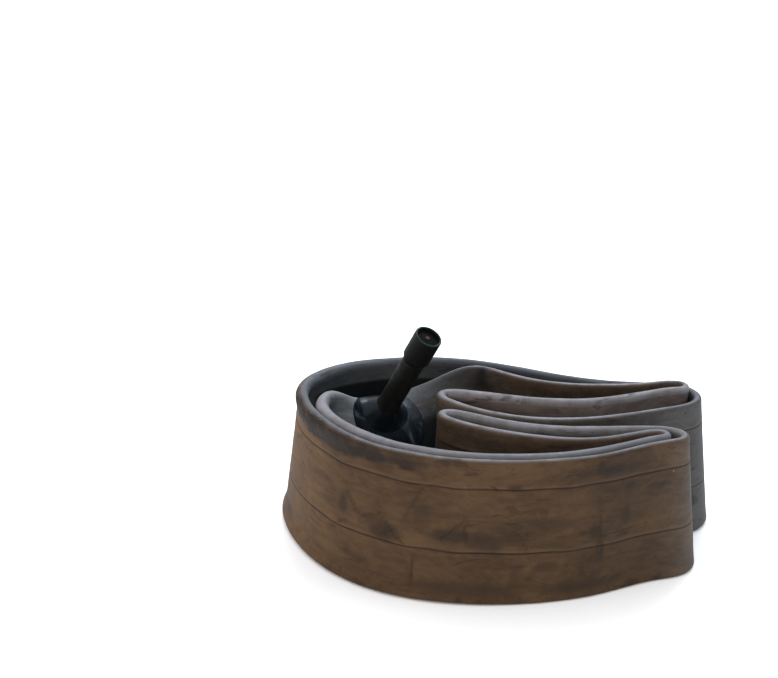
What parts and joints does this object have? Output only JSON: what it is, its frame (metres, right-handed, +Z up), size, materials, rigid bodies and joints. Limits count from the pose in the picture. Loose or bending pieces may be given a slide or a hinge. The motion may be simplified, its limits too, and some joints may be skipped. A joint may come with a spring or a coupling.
{
  "type": "bicycle inner tube",
  "caption": "Bicycle inner tube folded flat into a compact bundle on its edges, with a rubber-covered car-type valve and screw-on dust cap.",
  "frame": {"origin": "middle of the footprint, on the surface the folded tube stands on", "axes": "+Z up out of the table, +X along the longest side towards the folded ends away from the valve, +Y towards the back layer"},
  "size_m": [0.1598, 0.1024, 0.0757],
  "materials": {
    "tube_rubber": "matte, dusted with talc",
    "patch_rubber": "smooth moulded, slightly glossy",
    "stem_rubber": "smooth matte",
    "insert_brass": "turned",
    "core_brass": "turned",
    "gasket_red": "smooth",
    "pin_steel": "drawn wire",
    "seal_black": "smooth matte",
    "spring_steel": "drawn wire",
    "cap_plastic": "satin"
  },
  "bodies": {
    "tube": {"inner_tube": "tube_rubber", "valve_patch": "patch_rubber", "stem_rubber": "stem_rubber", "stem_insert": "insert_brass"},
    "core": {"core_barrel": "core_brass", "barrel_gasket": "gasket_red", "core_spring": "spring_steel"},
    "plug": {"core_plug": "core_brass"},
    "pin": {"core_pin": "pin_steel", "pin_collar": "core_brass", "core_cup": "core_brass", "cup_seal": "seal_black"},
    "seal": {"cap_seal": "seal_black"},
    "cap": {"cap": "cap_plastic"}
  },
  "joints": [
    {"name": "core_lift", "type": "slide", "parent": "tube", "child": "core", "axis": [0.3657, -0.341, 0.866], "range_m": [0, 0.00071]},
    {"name": "core_turn", "type": "hinge", "parent": "core", "child": "plug", "pos_m": [-0.03062, 0.00458, 0.06856], "axis": [0.3657, -0.341, 0.866], "range_deg": [0, 360]},
    {"name": "pin_press", "type": "slide", "parent": "core", "child": "pin", "axis": [-0.3657, 0.341, -0.866], "range_m": [0, 0.0015], "stiffness_N_per_m": 300, "springref_m": -0.002, "deforming": ["core_spring"]},
    {"name": "cap_lift", "type": "slide", "parent": "tube", "child": "seal", "axis": [0.3657, -0.341, 0.866], "range_m": [0, 0.00953]},
    {"name": "cap_turn", "type": "hinge", "parent": "seal", "child": "cap", "pos_m": [-0.03082, 0.00477, 0.06808], "axis": [0.3657, -0.341, 0.866], "range_deg": [0, 4320]}
  ],
  "couplings": [
    {"joint": "core_lift", "follows": "core_turn", "m_per_rad": 0.00011236},
    {"joint": "cap_lift", "follows": "cap_turn", "m_per_rad": 0.00012637}
  ]
}
